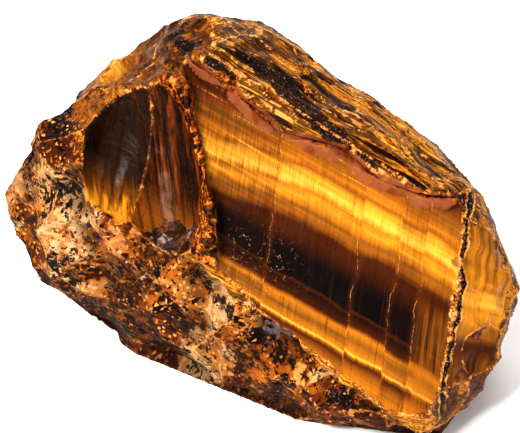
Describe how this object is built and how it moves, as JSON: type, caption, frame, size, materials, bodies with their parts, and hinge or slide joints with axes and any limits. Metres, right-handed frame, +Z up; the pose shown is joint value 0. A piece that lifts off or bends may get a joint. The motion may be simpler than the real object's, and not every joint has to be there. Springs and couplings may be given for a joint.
{
  "type": "rough tiger's eye stone",
  "caption": "Broken lump of raw tiger's eye with a flat silky banded face, shell-shaped breaks and an iron-ore crust, resting on a flat break.",
  "frame": {"origin": "middle of the bounding box, at the level of the flat break that the stone rests on", "axes": "+Z up, +X along the longest side of the silky face; the silky face looks towards -Y and up"},
  "size_m": [0.0816, 0.0616, 0.0535],
  "materials": {
    "tigers_eye": "silky golden-brown fibres with dark iron bands and a rusty granular crust"
  },
  "bodies": {
    "root": {"rough_tigers_eye": "tigers_eye"}
  },
  "joints": []
}
